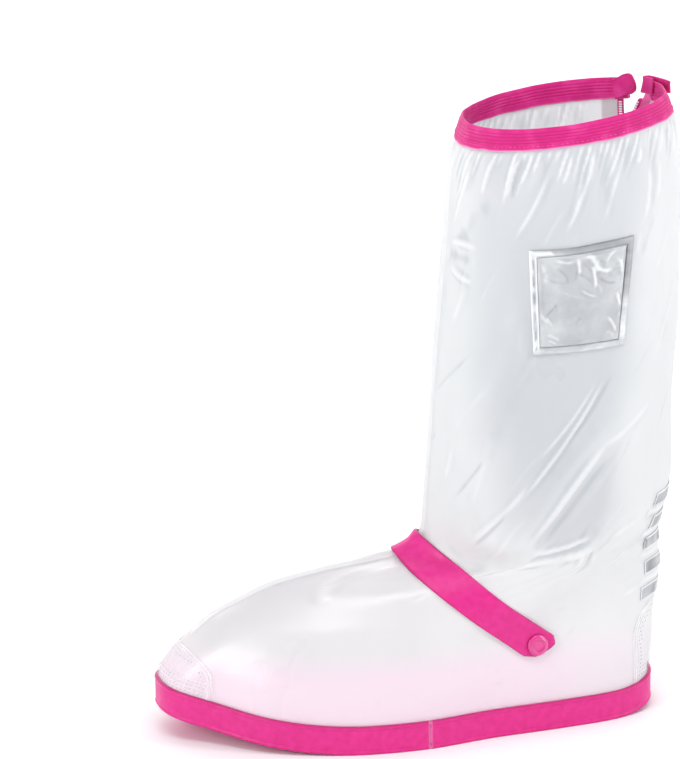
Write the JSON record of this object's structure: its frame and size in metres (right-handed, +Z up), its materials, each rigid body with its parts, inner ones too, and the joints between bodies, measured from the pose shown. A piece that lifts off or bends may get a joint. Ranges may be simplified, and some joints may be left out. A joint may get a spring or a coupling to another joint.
{
  "type": "rain boot cover",
  "caption": "Knee-high clear film rain cover for a left shoe, with a pink rubber sole, elastic top band, zip, instep strap and a bare window.",
  "frame": {"origin": "on the floor, under the middle of the sole's length and of its straight centre line", "axes": "+Z up along the leg, +X towards the heel, -X towards the toe, +Y towards the inner side of the foot with the zip"},
  "size_m": [0.3157, 0.132, 0.3813],
  "materials": {
    "clear_film": "soft milky clear vinyl film with glossy folds",
    "clear_patch": "second layer of clear vinyl, glossy",
    "pink_rubber": "semi-gloss soft vinyl rubber, hot pink",
    "pink_webbing": "matt woven elastic and tape, hot pink",
    "pink_cap": "glossy moulded plastic, hot pink",
    "silver_trim": "silver reflective film",
    "white_coil": "white nylon coil",
    "plated_alloy": "bright plated zinc alloy"
  },
  "bodies": {
    "cover": {"outsole": "pink_rubber", "sole_rand": "pink_rubber", "upper_outer_panel": "clear_film", "upper_inner_panel": "clear_film", "toe_cap": "clear_patch", "heel_counter": "clear_patch", "top_band": "pink_webbing", "closure_tab": "pink_webbing", "closure_strap": "pink_webbing", "zip_tape_front": "pink_webbing", "zip_tape_back": "pink_webbing", "zip_coil_front": "white_coil", "zip_coil_back": "white_coil", "zip_slider": "plated_alloy", "instep_strap": "pink_rubber", "strap_snap_outer": "pink_cap", "strap_snap_inner": "pink_cap", "window_patch": "clear_patch", "window_frame": "silver_trim", "reflective_stripe_1": "silver_trim", "reflective_stripe_2": "silver_trim", "reflective_stripe_3": "silver_trim", "reflective_stripe_4": "silver_trim", "reflective_stripe_5": "silver_trim"},
    "pull": {"zip_pull": "plated_alloy"}
  },
  "joints": [
    {"name": "zip_pull_swing", "type": "hinge", "parent": "cover", "child": "pull", "pos_m": [0.15033, 0.04652, 0.34575], "axis": [0.6851, -0.6684, -0.2896], "range_deg": [0, 160]}
  ]
}
